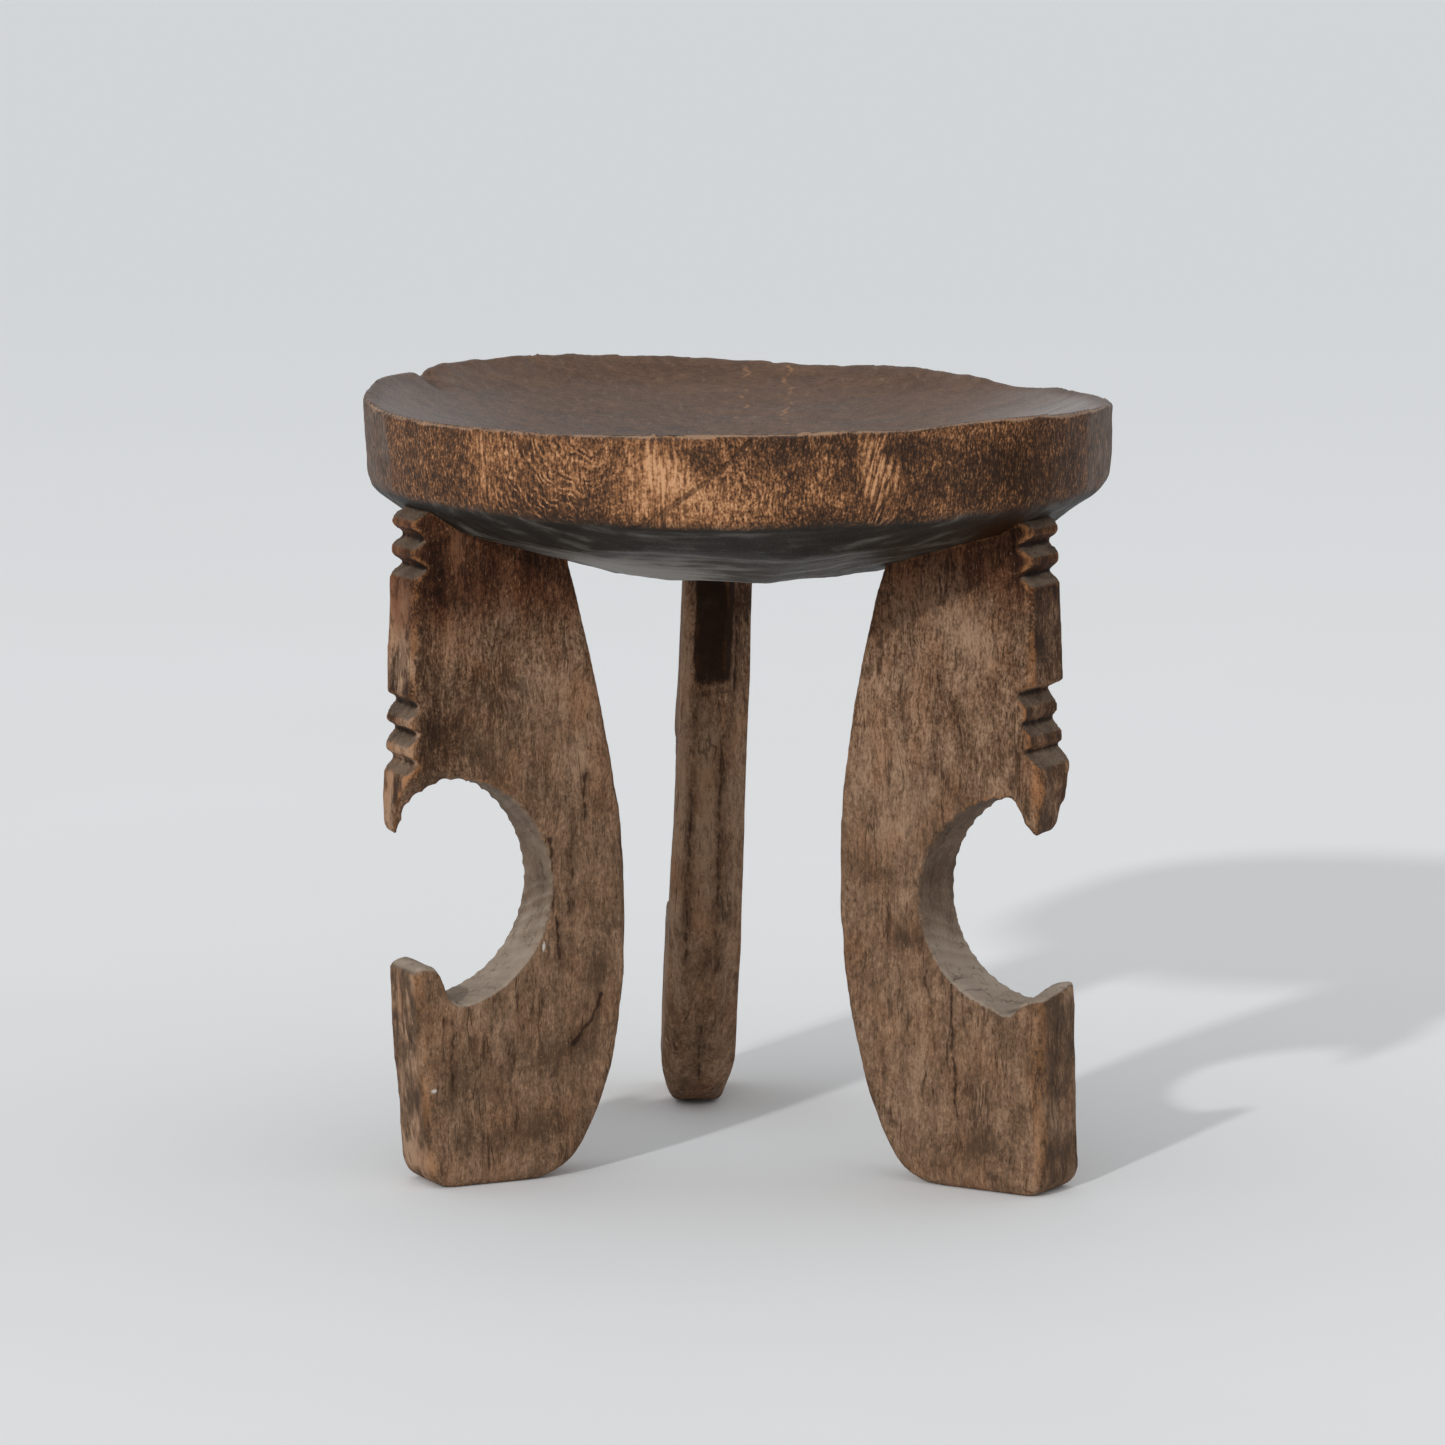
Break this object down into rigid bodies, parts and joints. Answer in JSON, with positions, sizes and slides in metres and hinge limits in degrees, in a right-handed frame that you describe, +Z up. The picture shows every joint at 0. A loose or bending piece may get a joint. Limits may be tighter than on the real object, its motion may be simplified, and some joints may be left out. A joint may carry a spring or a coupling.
{
  "type": "three-legged stool",
  "caption": "Low carved wooden stool: a round dished seat on radial plank legs with notched outer edges and C-shaped openings.",
  "frame": {"origin": "on the floor, below the middle of the round seat", "axes": "+Z up; -Y towards the front, where two of the legs stand; the third leg is at +Y; +X to the right seen from the front"},
  "size_m": [0.3104, 0.3104, 0.3238],
  "materials": {
    "seat_wood": "hand-carved hardwood, dark brown with a satin wear polish in the dish and orange worn flecks on the rim",
    "leg_wood": "hand-carved hardwood, dry and matt, vertical grain, dark stains near the top and a pale grey-brown bloom lower down"
  },
  "bodies": {
    "root": {"seat": "seat_wood", "leg_left": "leg_wood", "leg_right": "leg_wood", "leg_rear": "leg_wood"}
  },
  "joints": []
}
